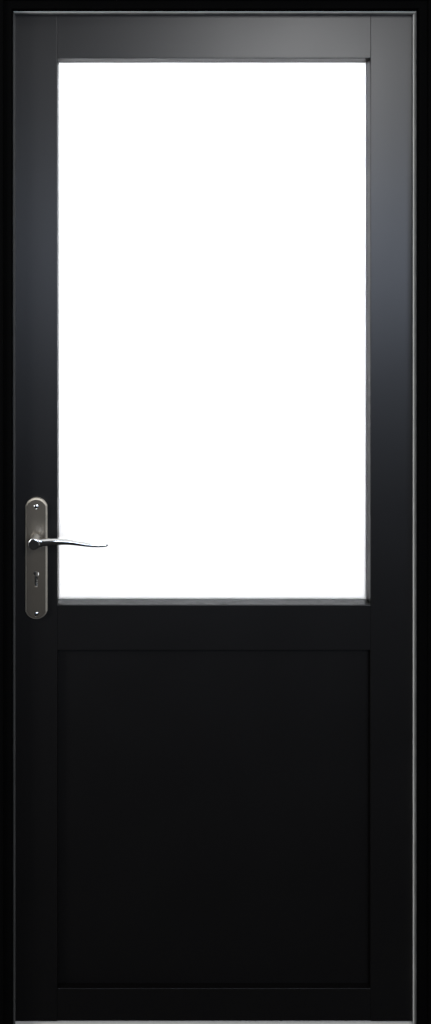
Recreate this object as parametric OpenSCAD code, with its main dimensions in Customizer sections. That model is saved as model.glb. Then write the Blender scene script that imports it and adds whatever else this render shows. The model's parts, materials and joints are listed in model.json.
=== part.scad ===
// Half-glazed stile-and-rail door leaf, hung on three hinges in a wooden frame,
// with a mortise lock and a pair of levers on long plates.
// X runs across the doorway, Y through it (minus is the push side) and Z up from the floor.
// The leaf's mid-plane is Y = 0 and the middle of the doorway is X = 0.

/* [Leaf] */
// Width of the leaf
leaf_w = 830; // [630:10:1030]
// Height of the leaf
leaf_h = 2040; // [1900:10:2300]
// Thickness of the leaf
leaf_t = 40; // [39:1:50]
// Gap between the floor and the leaf
floor_gap = 6; // [3:1:15]
// Width of each stile
stile_w = 100; // [96:1:130]
// Height of the top rail
top_rail_h = 102; // [80:1:140]
// Height of the middle rail
middle_rail_h = 92; // [80:1:140]
// Height of the bottom rail
bottom_rail_h = 66; // [60:1:200]
// Height of the lower panel that shows
panel_h = 680; // [500:10:740]
// Thickness of the lower panel
panel_t = 16; // [10:1:20]
// Depth of the groove round the lower panel
groove_d = 10; // [6:1:12]
// Rounding of the leaf's long edges
edge_r = 1.5; // [0.5:0.5:3]
// Diameter of the dowels between rails and stiles
dowel_d = 10; // [8:1:12]
// Length of the dowels
dowel_l = 70; // [60:5:100]

/* [Glazing] */
// Thickness of the glass
glass_t = 5; // [4:1:7]
// Depth of the glass behind the leaf's front face
glass_setback = 27; // [22:1:28]
// Width of glass held behind the lip
glass_lap = 10; // [8:1:12]
// Gap round the edge of the glass
glass_edge_gap = 3; // [2:1:4]
// Thickness of the glazing tape
tape_t = 1; // [0.5:0.5:2]
// Chamfer along the glazing beads
bead_chamfer = 4; // [1:0.5:5]
// Distance of the outer bead pins from the corners of the glass
bead_pin_inset = 80; // [50:5:150]
// Length of a setting block under the glass
block_l = 60; // [40:5:100]
// Diameter of the pins in the beads
bead_pin_d = 1.6; // [1.2:0.2:2]
// Length of the pins in the beads
bead_pin_l = 21; // [18:1:26]

/* [Frame] */
// Width of the frame's face
frame_face = 42; // [38:1:70]
// Depth of the frame through the wall
frame_depth = 75; // [68:1:120]
// Gap between the leaf and the frame
leaf_gap = 3; // [2:0.5:4]
// Overlap of the frame's stop over the leaf
stop_lap = 13; // [11:1:16]
// Set-back of the stop behind the frame's front edge
stop_setback = 6; // [0:1:12]
// Space for the seal between the stop and the leaf
seal_space = 4; // [3:0.5:6]
// Rounding of the frame's front edges
frame_r = 2.5; // [1:0.5:5]
// Depth of the seal's flange along the stop
seal_w = 12; // [8:1:16]
// Thickness of the seal's flange
seal_t = 1.4; // [1:0.2:2]
// Diameter of the wall fixing holes
fixing_d = 8.5; // [6:0.5:10]
// Distance of the wall fixings from the ends of the leaf
fixing_inset = 500; // [350:10:600]

/* [Hinges] */
// Height of a hinge
hinge_h = 100; // [80:5:120]
// Width of a hinge plate let into the wood
hinge_w = 30; // [28:1:32]
// Thickness of a hinge plate
hinge_t = 2.5; // [2:0.5:3]
// Radius of the hinge knuckles
knuckle_r = 6.5; // [6:0.5:8]
// Radius of the hinge pins
pin_r = 3; // [2.5:0.25:4]
// Distance of the top hinge below the top of the leaf
hinge_top_drop = 200; // [120:10:260]
// Height of the bottom hinge above the bottom of the leaf
hinge_bottom_rise = 230; // [120:10:300]

/* [Lock] */
// Height of the lever spindle above the middle rail
spindle_rise = 137; // [125:1:160]
// Distance of the spindle from the leaf's edge
backset = 58; // [54:1:59]
// Distance from the spindle down to the key
key_drop = 72; // [70:1:85]
// Side of the square spindle
spindle_s = 8; // [7:0.5:9]
// Thickness of the lock case
case_t = 15; // [14:1:17]
// Wall of the lock case
case_wall = 1.5; // [1:0.5:2]
// Length of the forend
forend_l = 200; // [190:5:240]
// Width of the forend
forend_w = 20; // [18:1:24]
// Thickness of the forend
forend_t = 3; // [2:0.5:4]
// Travel of the latch
latch_throw = 12; // [10:0.5:13]
// Travel of the deadbolt
deadbolt_throw = 14; // [10:1:16]
// Length of the strike plate
strike_l = 170; // [165:5:200]
// Width of the strike plate
strike_w = 24; // [20:1:28]
// Thickness of the strike plate
strike_t = 2.5; // [2:0.5:3]

/* [Handles] */
// Width of a handle plate
plate_w = 44; // [40:1:50]
// Length of a handle plate
plate_h = 243; // [235:1:260]
// Thickness of a handle plate
plate_t = 8; // [6:0.5:10]
// Wall of a handle plate
plate_wall = 2.5; // [1.5:0.5:3]
// Rise of a plate's arched ends
plate_rise = 16; // [10:1:20]
// Width of a plate's bevelled rim
plate_bevel = 3; // [1:0.5:4]
// Distance of the plates' centre below the spindle
plate_drop = 42; // [30:1:45]
// Distance of the upper fixing bolt below a plate's top
plate_bolt_top = 17; // [10:1:22]
// Distance of the lower fixing bolt above a plate's bottom
plate_bolt_bottom = 11; // [10:1:22]
// Radius of the round part of the keyhole
keyhole_r = 5.5; // [4:0.5:6]
// Width of the keyhole's slot
keyhole_slot = 6; // [4:0.5:7]
// Length of the keyhole below the key's centre
keyhole_drop = 26; // [20:1:28]
// Reach of a lever from its spindle
lever_l = 146; // [110:1:160]
// Distance of a lever's outer end from the leaf
lever_stand = 46; // [42:1:60]
// Radius of a lever's hub
lever_hub_r = 11.5; // [11:0.5:14]
// Radius of a lever's neck in its bush
lever_neck_r = 8; // [7.5:0.5:9]
// Height of the lever's grip at its root
grip_root_h = 16; // [12:0.5:18]
// Height of the lever's grip near its tip
grip_tip_h = 8; // [6:0.5:10]
// Depth of the lever's grip
grip_d = 12; // [9:0.5:14]
// Rise of the lever's grip above the spindle, where it bows up
grip_rise = 3.5; // [0:0.5:6]
// Drop of the lever's tip below the spindle
grip_drop = 5; // [0:0.5:12]

/* [Fits] */
// Play round screws, dowels and let-in plates
fit = 0.1; // [0.05:0.05:0.2]
// Radial play of turning and sliding pieces
running_fit = 0.05; // [0.02:0.01:0.09]
// Play of the lock's sliding bolts and of the panel
slide_gap = 0.3; // [0.2:0.1:0.5]

/* [Hidden] */
$fn = 48;
leaf_x = leaf_w / 2;
leaf_front = -leaf_t / 2;
leaf_rear = leaf_t / 2;
leaf_z0 = floor_gap;
leaf_z1 = floor_gap + leaf_h;
opening_x = leaf_x - stile_w;
panel_z0 = leaf_z0 + bottom_rail_h;
panel_z1 = panel_z0 + panel_h;
glass_z0 = panel_z1 + middle_rail_h;
glass_z1 = leaf_z1 - top_rail_h;
glass_h = glass_z1 - glass_z0;
glass_zc = (glass_z0 + glass_z1) / 2;
rebate_w = glass_lap + glass_edge_gap;
rebate_y = leaf_front + glass_setback - tape_t;
glass_y = leaf_front + glass_setback;
bead_y = glass_y + glass_t + tape_t;
bead_d = leaf_rear - bead_y;
bead_cut = min(bead_chamfer, bead_d - 1);
bead_pin_y = bead_y + (bead_d - bead_cut) / 2;

rebate_x = leaf_x + leaf_gap;
stop_x = leaf_x - stop_lap;
frame_x = stop_x + frame_face;
stop_y = leaf_front - seal_space;
frame_front = leaf_rear - frame_depth;
stop_front = frame_front + stop_setback;
stop_z = leaf_z1 - stop_lap;
frame_z = stop_z + frame_face;
rebate_u = stop_lap + leaf_gap;
seal_bulb_r = (seal_space - 2 * slide_gap) / 2;
fixing_y = (stop_y + leaf_rear) / 2;
corner_screw_d = 5;
corner_screw_head = 10;
corner_screw_l = 70;
corner_screw_z = frame_z - (frame_face - rebate_u) / 2;
corner_screw_y = [(frame_front + stop_y) / 2, fixing_y];

hinge_axis_gap = 0.5;
hinge_axis_x = leaf_x + leaf_gap / 2;
hinge_axis_y = leaf_rear + knuckle_r + hinge_axis_gap;
knuckles = 5;
knuckle_h = hinge_h / knuckles;
knuckle_gap = 0.4;
pin_head_h = 2.2;
pin_head_round = 1;
pin_head_r = knuckle_r - pin_head_round;
hinge_bottom_z = leaf_z0 + hinge_bottom_rise;
hinge_top_z = leaf_z1 - hinge_top_drop;
hinge_z = [hinge_bottom_z, (hinge_bottom_z + hinge_top_z) / 2, hinge_top_z];
hinge_screw_d = 4;
hinge_screw_head = 8;
hinge_screw_l = 22;
hinge_screw_inset = 9;
hinge_screws = 4;

spindle_x = -leaf_x + backset;
spindle_z = glass_z0 + spindle_rise;
lug_x = 4.5;
lug_t = 4;
lug_room = 1.5;
lug_gap = 1;
arm_r = 4;
arm_l = 17;
follower_r = 11;
follower_boss_r = 8;
lug_z0 = follower_r + lug_gap;
case_foot = 10;
case_x0 = -backset + forend_t;
case_x1 = lug_x + latch_throw + lug_t + lug_room + case_wall;
case_z0 = -key_drop - keyhole_drop - case_foot;
mortise_gap = 0.5;
latch_z0 = 10;
latch_h = 24;
latch_body = 13;
latch_tip_t = 2.3;
latch_head_room = 4;
case_z1 = latch_z0 + latch_h + latch_head_room + case_wall;
case_in = case_t / 2 - case_wall;
bolt_t = 2 * (case_in - slide_gap);
tail_t = 6;
tail_h = 4;
tail_step = 1;
tail_z0 = latch_z0 + latch_h - tail_step - tail_h;
spring_post_x = -15;
spring_post_t = 3;
spring_post_drop = 6;
spring_rise = 9;
spring_z = latch_z0 + spring_rise;
spring_coil_r = 4;
spring_wire_r = 0.6;
spring_turns = 8;
spring_guide_r = 2.5;
spring_guide_l = 10;
deadbolt_h = 22;
deadbolt_key_gap = 2.5;
deadbolt_z0 = -key_drop + keyhole_r + deadbolt_key_gap;
deadbolt_z1 = deadbolt_z0 + deadbolt_h;
deadbolt_head_l = 28;
deadbolt_tail_l = 70;
stud_x = -10;
stud_r = 2.5;
stud_rise = 14;
stud_z = deadbolt_z0 + stud_rise;
talon_w = 14;
talon_h = 7;
detent_post_x = 16;
detent_post_rise = 14;
detent_post = [detent_post_x, deadbolt_z1 + detent_post_rise];
detent_post_r = 2.5;
detent_bore = detent_post_r + running_fit;
detent_strip = 0.8;
detent_bend_x = -8;
detent_tip_x = -24;
detent_lift = 8;
cover_boss_r = 2.3;
cover_screw_d = 2.2;
cover_screw_head = 4;
cover_screw_l = 8;
cover_screw_inset = 7;
cover_screw_drop = 3.5;
cover_screw_top_x = -20;
cover_screws = [
    [cover_screw_top_x, case_z1 - cover_screw_drop],
    [case_x0 + cover_screw_inset, (deadbolt_z1 + latch_z0) / 2],
    [case_x0 + cover_screw_inset, case_z0 + cover_screw_inset],
    [case_x1 - cover_screw_inset, case_z0 + cover_screw_inset]
];
forend_zc = (case_z0 + case_z1) / 2;
forend_screw_inset = 10;
forend_screw_d = 4;
forend_screw_head = 8;
forend_screw_l = 26;
strike_zc = (deadbolt_z0 + latch_z0 + latch_h) / 2;
strike_screw_inset = 12;
strike_screw_l = 20;
strike_hole_gap = 1.2;
strike_lip_room = 8;
strike_pocket_room = 4;
strike_pocket = max(latch_throw, deadbolt_throw) + strike_pocket_room;

plate_y = leaf_rear + plate_t;
plate_z = spindle_z - plate_drop;
plate_end_r = (plate_w * plate_w / 4 + plate_rise * plate_rise) / (2 * plate_rise);
plate_bolt_r = 2.4;
plate_sleeve_r = 3.5;
plate_bolt_head_r = 4.5;
plate_bolt_head_h = 2;
plate_boss_wall = 2.5;
plate_bolt_z = [plate_z - plate_h / 2 + plate_bolt_bottom, plate_z + plate_h / 2 - plate_bolt_top];
plate_bolt_reach = 10;
plate_bolt_end_gap = 1;
plate_sleeve_reach = 5;
bush_r = lever_neck_r + 2;
bush_flange_r = bush_r + 3;
bush_flange_t = 1.5;
hub_gap = 0.5;
hub_y0 = plate_y + bush_flange_t + hub_gap;
hub_y1 = leaf_rear + lever_stand;
hub_round = 2.5;
hub_flare = 6;
neck_y0 = leaf_rear + plate_wall;
grip_inset = 1.5;
grip_y = hub_y1 - grip_d / 2 - grip_inset;
spindle_end_wall = 14;
spindle_l = hub_y1 - spindle_end_wall;
grub_r = 2.5;
grub_rise = 5;
grub_sink = 0.5;
grub_socket = 2;
grub_y = hub_y0 + hub_flare + grub_rise;

// Shared shapes

// Block between two corners, given as a range along each axis
module block(x, y, z) {
    translate([x[0], y[0], z[0]]) cube([x[1] - x[0], y[1] - y[0], z[1] - z[0]]);
}

// Rod along Y between two depths
module rod_y(r, y0, y1) {
    translate([0, y0, 0]) rotate([-90, 0, 0]) cylinder(r = r, h = y1 - y0);
}

// Rod along X between two places
module rod_x(r, x0, x1) {
    translate([x0, 0, 0]) rotate([0, 90, 0]) cylinder(r = r, h = x1 - x0);
}

// Waste that rounds the corner at the origin of the first quadrant
module corner_waste(r) {
    difference() {
        translate([-1, -1]) square(r + 1);
        translate([r, r]) circle(r);
    }
}

// Rectangle from the first corner to the second with rounded corners
module eased_rect(a, b, r) {
    size = [b[0] - a[0], b[1] - a[1]];
    translate(a) difference() {
        square(size);
        corner_waste(r);
        translate([size[0], 0]) mirror([1, 0]) corner_waste(r);
        translate([0, size[1]]) mirror([0, 1]) corner_waste(r);
        translate(size) rotate(180) corner_waste(r);
    }
}

// Countersunk wood screw with its head's face at the origin, driven along +Z
module wood_screw(d, head_d, l) {
    difference() {
        union() {
            cylinder(d1 = head_d, d2 = d, h = (head_d - d) / 2);
            cylinder(d = d, h = l);
        }
        for (turn = [0, 90]) rotate(turn) cube([head_d * 0.55, d * 0.22, d * 0.5], center = true);
    }
}

// Hole that takes such a screw
module screw_hole(d, head_d, l) {
    cylinder(d1 = head_d + 2 * fit, d2 = d + 2 * fit, h = (head_d - d) / 2);
    cylinder(d = d + 2 * fit, h = l + fit);
    translate([0, 0, -1]) cylinder(d = head_d + 2 * fit, h = 1);
}

// Run of a section along Z, mitred at both ends round an opening of the given length;
// the section's first axis points away from the opening
module mitred_run(l, reach) {
    depth = 4 * frame_depth;
    intersection() {
        translate([0, 0, -l / 2 - reach]) linear_extrude(l + 2 * reach) children();
        translate([0, depth / 2, 0]) rotate([90, 0, 0]) linear_extrude(depth)
            polygon([
                [-reach, reach - l / 2], [reach, -reach - l / 2],
                [reach, l / 2 + reach], [-reach, l / 2 - reach]
            ]);
    }
}

// Run of a section up a jamb, square at the floor and mitred at the head
module jamb_run() {
    depth = 4 * frame_depth;
    translate([stop_x, 0, 0]) intersection() {
        linear_extrude(frame_z) children();
        translate([0, depth / 2, 0]) rotate([90, 0, 0]) linear_extrude(depth)
            polygon([
                [-frame_face, 0], [frame_face, 0],
                [frame_face, frame_z], [-frame_face, stop_z - frame_face]
            ]);
    }
}

// Run of a section along the head, mitred at both ends
module head_run() {
    translate([0, 0, stop_z]) rotate([0, -90, 0]) mitred_run(2 * stop_x, frame_face) children();
}

// Frame

// Section of the frame's boards, which line the wall opening
module lining_section() {
    difference() {
        translate([rebate_u, frame_front]) square([frame_face - rebate_u, frame_depth]);
        translate([rebate_u, frame_front]) corner_waste(frame_r);
        translate([frame_face, frame_front]) mirror([1, 0]) corner_waste(frame_r);
        translate([rebate_u, leaf_rear]) mirror([0, 1]) corner_waste(edge_r);
    }
}

// Section of the stop planted on the boards, which the leaf closes against
module stop_section() {
    difference() {
        translate([0, stop_front]) square([rebate_u, stop_y - stop_front]);
        translate([0, stop_front]) corner_waste(frame_r);
    }
}

// Section of the seal: a flange along the stop and a bulb that meets the leaf
module seal_section() {
    translate([-seal_t, leaf_front - slide_gap - seal_bulb_r - seal_w])
        square([seal_t, seal_w]);
    difference() {
        translate([-seal_t / 2, leaf_front - slide_gap - seal_bulb_r]) circle(seal_bulb_r);
        translate([-seal_t / 2, leaf_front - slide_gap - seal_bulb_r]) circle(seal_bulb_r / 3);
    }
}

// Wall fixing hole through a jamb, countersunk from the rebate
module fixing_holes() {
    for (z = [leaf_z0 + fixing_inset, leaf_z1 - fixing_inset])
        translate([rebate_x, fixing_y, z]) rotate([0, 90, 0]) {
            translate([0, 0, -1]) cylinder(d = fixing_d, h = frame_face);
            translate([0, 0, -1]) cylinder(d1 = 2 * fixing_d + 2, d2 = fixing_d, h = fixing_d / 2 + 1);
        }
}

// Places of the screws through the jambs into the head, seen on the hinge side
module at_corner_screws() {
    for (y = corner_screw_y)
        translate([frame_x, y, corner_screw_z]) rotate([0, -90, 0]) children();
}

module corner_screw_holes() {
    for (side = [0, 1])
        mirror([side, 0, 0]) at_corner_screws()
            screw_hole(corner_screw_d, corner_screw_head, corner_screw_l);
}

module jamb_blank() {
    difference() {
        jamb_run() lining_section();
        fixing_holes();
        corner_screw_holes();
    }
}

module jamb_latch_side() {
    color("#0c0c0c") difference() {
        mirror([1, 0, 0]) jamb_blank();
        strike_blank(fit);
        strike_pockets();
        at_strike_screws() screw_hole(forend_screw_d, forend_screw_head, strike_screw_l);
    }
}

module jamb_hinge_side() {
    color("#0c0c0c") difference() {
        jamb_blank();
        for (z = hinge_z) hinge_plate(z, rebate_x, fit);
        at_hinge_frame_screws() screw_hole(hinge_screw_d, hinge_screw_head, hinge_screw_l);
    }
}

module frame_head() {
    color("#0c0c0c") difference() {
        head_run() lining_section();
        corner_screw_holes();
    }
}

module frame_corner_screws() {
    color("#a8a8a4") for (side = [0, 1])
        mirror([side, 0, 0]) at_corner_screws()
            wood_screw(corner_screw_d, corner_screw_head, corner_screw_l);
}

module stop_hinge_side() {
    color("#0c0c0c") jamb_run() stop_section();
}

module stop_latch_side() {
    color("#0c0c0c") mirror([1, 0, 0]) jamb_run() stop_section();
}

module stop_head() {
    color("#0c0c0c") head_run() stop_section();
}

module seal_hinge_side() {
    color("#b9b9b5") jamb_run() seal_section();
}

module seal_latch_side() {
    color("#b9b9b5") mirror([1, 0, 0]) jamb_run() seal_section();
}

module seal_head() {
    color("#b9b9b5") head_run() seal_section();
}

// Strike

// The strike's outline with its lip towards the frame's edge, and some room round it
module strike_blank(room) {
    lip = latch_h + 2 * strike_lip_room;
    lip_zc = spindle_z + latch_z0 + latch_h / 2;
    zc = spindle_z + strike_zc;
    x = [-rebate_x - strike_t, -rebate_x + (room > 0 ? 1 : 0)];
    block(x, [-strike_w / 2 - room, strike_w / 2 + room],
        [zc - strike_l / 2 - room, zc + strike_l / 2 + room]);
    block(x, [0, leaf_rear + (room > 0 ? 1 : -edge_r)],
        [lip_zc - lip / 2 - room, lip_zc + lip / 2 + room]);
}

// Places of the strike's two screws, driven into the jamb
module at_strike_screws() {
    for (s = [-1, 1])
        translate([-rebate_x, 0, spindle_z + strike_zc + s * (strike_l / 2 - strike_screw_inset)])
            rotate([0, -90, 0]) children();
}

// Room in the strike and the jamb for the two bolts
module strike_pockets() {
    y = bolt_t / 2 + strike_hole_gap;
    x = [-rebate_x - strike_pocket, -rebate_x + 1];
    block(x, [-y, y],
        [spindle_z + latch_z0 - strike_hole_gap, spindle_z + latch_z0 + latch_h + strike_hole_gap]);
    block(x, [-y, y],
        [spindle_z + deadbolt_z0 - strike_hole_gap, spindle_z + deadbolt_z1 + strike_hole_gap]);
}

module strike_plate() {
    color("#9a9890") difference() {
        strike_blank(0);
        strike_pockets();
        at_strike_screws() screw_hole(forend_screw_d, forend_screw_head, strike_screw_l);
    }
}

module strike_screws() {
    color("#a8a8a4") at_strike_screws() wood_screw(forend_screw_d, forend_screw_head, strike_screw_l);
}

// Hinges

// Flat of a hinge plate whose face is at x, or the recess for it
module hinge_plate(z, x, room) {
    side = x > leaf_x ? 1 : -1;
    translate([x, leaf_rear - hinge_w - room, z - hinge_h / 2 - room])
        mirror([side > 0 ? 0 : 1, 0, 0])
            translate([room > 0 ? -1 : 0, 0, 0])
                cube([hinge_t + (room > 0 ? 1 : 0), hinge_w + room + (room > 0 ? 1 : 0), hinge_h + 2 * room]);
}

// One half of a hinge: its plate, its knuckles and the straps between them
module hinge_half(z, x, first) {
    difference() {
        union() {
            hinge_plate(z, x, 0);
            for (i = [first:2:knuckles - 1])
                translate([0, 0, z - hinge_h / 2 + i * knuckle_h + knuckle_gap / 2]) {
                    translate([hinge_axis_x, hinge_axis_y, 0])
                        cylinder(r = knuckle_r, h = knuckle_h - knuckle_gap);
                    translate([x - (x > leaf_x ? 0 : hinge_t), leaf_rear - 1, 0])
                        cube([hinge_t, hinge_axis_y - leaf_rear + 1, knuckle_h - knuckle_gap]);
                }
        }
        translate([hinge_axis_x, hinge_axis_y, z - hinge_h])
            cylinder(r = pin_r + running_fit, h = 2 * hinge_h);
        at_hinge_frame_screws() screw_hole(hinge_screw_d, hinge_screw_head, hinge_screw_l);
        at_hinge_door_screws() screw_hole(hinge_screw_d, hinge_screw_head, hinge_screw_l);
    }
}

module hinge_pin(z) {
    color("#b4b2ac") translate([hinge_axis_x, hinge_axis_y, z]) {
        cylinder(r = pin_r, h = hinge_h, center = true);
        for (s = [0, 1]) mirror([0, 0, s]) translate([0, 0, hinge_h / 2]) rotate_extrude() {
            square([pin_head_r - pin_head_round, pin_head_h]);
            square([pin_head_r, pin_head_h - pin_head_round]);
            translate([pin_head_r - pin_head_round, pin_head_h - pin_head_round]) circle(pin_head_round);
        }
    }
}

// Screw places on every hinge plate, staggered in two rows
module at_hinge_rows() {
    pitch = hinge_h / hinge_screws;
    for (z = hinge_z, i = [0:hinge_screws - 1])
        translate([
            0,
            leaf_rear - (i % 2 == 0 ? hinge_screw_inset : hinge_w - hinge_screw_inset),
            z - hinge_h / 2 + (i + 0.5) * pitch
        ]) children();
}

module at_hinge_frame_screws() {
    translate([rebate_x, 0, 0]) at_hinge_rows() rotate([0, 90, 0]) children();
}

module at_hinge_door_screws() {
    translate([leaf_x, 0, 0]) at_hinge_rows() rotate([0, -90, 0]) children();
}

module hinge_frame_half(z) { color("#a09e98") hinge_half(z, rebate_x, 0); }
module hinge_door_half(z) { color("#a09e98") hinge_half(z, leaf_x, 1); }

module hinge_frame_screws() {
    color("#a8a8a4") at_hinge_frame_screws() wood_screw(hinge_screw_d, hinge_screw_head, hinge_screw_l);
}

module hinge_door_screws() {
    color("#a8a8a4") at_hinge_door_screws() wood_screw(hinge_screw_d, hinge_screw_head, hinge_screw_l);
}

// Leaf

// Room for the glass and its beads, open to the rear
module glass_rebate() {
    block([-opening_x - rebate_w, opening_x + rebate_w], [rebate_y, leaf_rear + 1],
        [glass_z0 - rebate_w, glass_z1 + rebate_w]);
}

// Groove round the lower panel
module panel_groove() {
    block([-opening_x - groove_d, opening_x + groove_d],
        [-panel_t / 2 - fit, panel_t / 2 + fit],
        [panel_z0 - groove_d, panel_z1 + groove_d]);
}

// Places of the dowels: two at each end of each rail, pointing along X from the joint
module at_dowels() {
    for (rail = [[leaf_z0, bottom_rail_h], [panel_z1, middle_rail_h], [glass_z1, top_rail_h]])
        for (s = [-1, 1], share = [1, 3])
            translate([s * opening_x, (leaf_front + rebate_y) / 2, rail[0] + rail[1] * share / 4]) children();
}

module dowel_holes() {
    at_dowels() rod_x(dowel_d / 2 + fit, -dowel_l / 2 - 1, dowel_l / 2 + 1);
}

// Places of the bead pins, with the pin pointing away from the opening
module at_bead_pins() {
    for (s = [0, 1], z = [glass_z0 + bead_pin_inset, glass_zc, glass_z1 - bead_pin_inset])
        mirror([s, 0, 0]) translate([opening_x, bead_pin_y, z]) rotate([0, 90, 0]) children();
    for (s = [-1, 1]) {
        translate([s * opening_x / 2, bead_pin_y, glass_z1]) children();
        translate([s * opening_x / 2, bead_pin_y, glass_z0]) rotate([180, 0, 0]) children();
    }
}

module bead_pin_holes() {
    at_bead_pins() translate([0, 0, -1]) cylinder(d = bead_pin_d + 2 * fit, h = bead_pin_l + 1 + fit);
}

module stile_blank() {
    difference() {
        translate([0, 0, leaf_z0]) linear_extrude(leaf_h)
            eased_rect([opening_x, leaf_front], [leaf_x, leaf_rear], edge_r);
        glass_rebate();
        panel_groove();
        dowel_holes();
        bead_pin_holes();
    }
}

module stile_hinge_side() {
    color("#141414") difference() {
        stile_blank();
        for (z = hinge_z) hinge_plate(z, leaf_x, fit);
        at_hinge_door_screws() screw_hole(hinge_screw_d, hinge_screw_head, hinge_screw_l);
    }
}

module stile_latch_side() {
    color("#141414") difference() {
        mirror([1, 0, 0]) stile_blank();
        translate([spindle_x, 0, spindle_z]) {
            block([-backset - 1, case_x1 + mortise_gap], [-case_t / 2 - fit, case_t / 2 + fit],
                [case_z0 - mortise_gap, case_z1 + mortise_gap]);
            block([-backset - 1, -backset + forend_t], [-forend_w / 2 - fit, forend_w / 2 + fit],
                [forend_zc - forend_l / 2 - fit, forend_zc + forend_l / 2 + fit]);
            at_forend_screws() screw_hole(forend_screw_d, forend_screw_head, forend_screw_l);
            rod_y(follower_boss_r + 1, -leaf_t, leaf_t);
            translate([0, 0, -key_drop]) keyhole(leaf_t, 1);
        }
        at_plate_bolts() rod_y(plate_sleeve_r + fit, -leaf_t, leaf_t);
    }
}

// Rail between the stiles from one height to another
module rail(z0, z1) {
    color("#141414") difference() {
        translate([opening_x, 0, 0]) rotate([0, -90, 0]) linear_extrude(2 * opening_x)
            eased_rect([z0, leaf_front], [z1, leaf_rear], edge_r);
        glass_rebate();
        panel_groove();
        dowel_holes();
        bead_pin_holes();
    }
}

module rail_top() { rail(glass_z1, leaf_z1); }
module rail_middle() { rail(panel_z1, glass_z0); }
module rail_bottom() { rail(leaf_z0, panel_z0); }

module rail_dowels() {
    color("#c8a26b") at_dowels() rod_x(dowel_d / 2, -dowel_l / 2, dowel_l / 2);
}

module lower_panel() {
    held = groove_d - slide_gap;
    color("#101010")
        block([-opening_x - held, opening_x + held], [-panel_t / 2, panel_t / 2],
            [panel_z0 - held, panel_z1 + held]);
}

// Glazing

module glass_pane() {
    color("#dfe9ee", 0.4)
        block([-opening_x - glass_lap, opening_x + glass_lap], [glass_y, glass_y + glass_t],
            [glass_z0 - glass_lap, glass_z1 + glass_lap]);
}

// Ring of tape between the glass and what holds it
module glazing_tape(y) {
    color("#202020") difference() {
        block([-opening_x - glass_lap, opening_x + glass_lap], [y, y + tape_t],
            [glass_z0 - glass_lap, glass_z1 + glass_lap]);
        block([-opening_x, opening_x], [y - 1, y + tape_t + 1], [glass_z0, glass_z1]);
    }
}

module glazing_tape_front() { glazing_tape(rebate_y); }
module glazing_tape_rear() { glazing_tape(glass_y + glass_t); }

module setting_blocks() {
    color("#3a3a3a") for (s = [-1, 1])
        translate([s * opening_x / 2, 0, 0])
            block([-block_l / 2, block_l / 2], [glass_y, glass_y + glass_t],
                [glass_z0 - rebate_w, glass_z0 - glass_lap]);
}

// Section of a glazing bead, chamfered towards the glass
module bead_section() {
    polygon([
        [0, bead_y], [rebate_w, bead_y], [rebate_w, leaf_rear],
        [bead_cut, leaf_rear], [0, leaf_rear - bead_cut]
    ]);
}

module bead_hinge_side() {
    color("#141414") difference() {
        translate([opening_x, 0, glass_zc]) mitred_run(glass_h, rebate_w) bead_section();
        bead_pin_holes();
    }
}

module bead_latch_side() { mirror([1, 0, 0]) bead_hinge_side(); }

module bead_top() {
    color("#141414") difference() {
        translate([0, 0, glass_z1]) rotate([0, -90, 0]) mitred_run(2 * opening_x, rebate_w) bead_section();
        bead_pin_holes();
    }
}

module bead_bottom() {
    color("#141414") difference() {
        translate([0, 0, glass_z0]) mirror([0, 0, 1]) rotate([0, -90, 0])
            mitred_run(2 * opening_x, rebate_w) bead_section();
        bead_pin_holes();
    }
}

module bead_pins() {
    color("#a8a8a4") at_bead_pins() cylinder(d = bead_pin_d, h = bead_pin_l);
}

// Lock, drawn about its spindle

module at_spindle() {
    translate([spindle_x, 0, spindle_z]) children();
}

// Keyhole through a thickness, with its round part at the origin and some room round it
module keyhole(through, room) {
    rod_y(keyhole_r + room, -through, through);
    block([-keyhole_slot / 2 - room, keyhole_slot / 2 + room], [-through, through],
        [-keyhole_drop - room, 0]);
}

// Room for the two bolts in the front of the lock
module bolt_slots() {
    y = bolt_t / 2 + running_fit;
    x = [-backset - 1, case_x0 + 2 * case_wall];
    block(x, [-y, y], [latch_z0 - running_fit, latch_z0 + latch_h + running_fit]);
    block(x, [-y, y], [deadbolt_z0 - running_fit, deadbolt_z1 + running_fit]);
}

module at_cover_screws() {
    for (p = cover_screws) translate([p[0], case_t / 2, p[1]]) rotate([90, 0, 0]) children();
}

// Box of the lock, open to the rear, with the posts that carry its works
module lock_case() {
    color("#8d8b86") at_spindle() difference() {
        union() {
            difference() {
                block([case_x0, case_x1], [-case_t / 2, case_in], [case_z0, case_z1]);
                block([case_x0 + case_wall, case_x1 - case_wall], [-case_in, case_t],
                    [case_z0 + case_wall, case_z1 - case_wall]);
                bolt_slots();
            }
            block([spring_post_x, spring_post_x + spring_post_t], [-case_in - 0.1, case_in],
                [spring_z - spring_post_drop, tail_z0 - slide_gap]);
            translate([stud_x, 0, stud_z]) rod_y(stud_r, -case_in - 0.1, case_in);
            translate([detent_post[0], 0, detent_post[1]]) rod_y(detent_post_r, -case_in - 0.1, case_in);
            for (p = cover_screws)
                translate([p[0], 0, p[1]]) rod_y(cover_boss_r, -case_in - 0.1, case_in);
        }
        rod_y(follower_boss_r + running_fit, -case_t, 0);
        translate([0, 0, -key_drop]) keyhole(case_t, 0);
        at_cover_screws() screw_hole(cover_screw_d, cover_screw_head, cover_screw_l);
    }
}

module lock_cover() {
    color("#8d8b86") at_spindle() difference() {
        block([case_x0, case_x1], [case_in, case_t / 2], [case_z0, case_z1]);
        rod_y(follower_boss_r + running_fit, 0, case_t);
        translate([0, 0, -key_drop]) keyhole(case_t, 0);
        at_cover_screws() screw_hole(cover_screw_d, cover_screw_head, cover_screw_l);
    }
}

module lock_cover_screws() {
    color("#a8a8a4") at_spindle() at_cover_screws()
        wood_screw(cover_screw_d, cover_screw_head, cover_screw_l);
}

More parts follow.
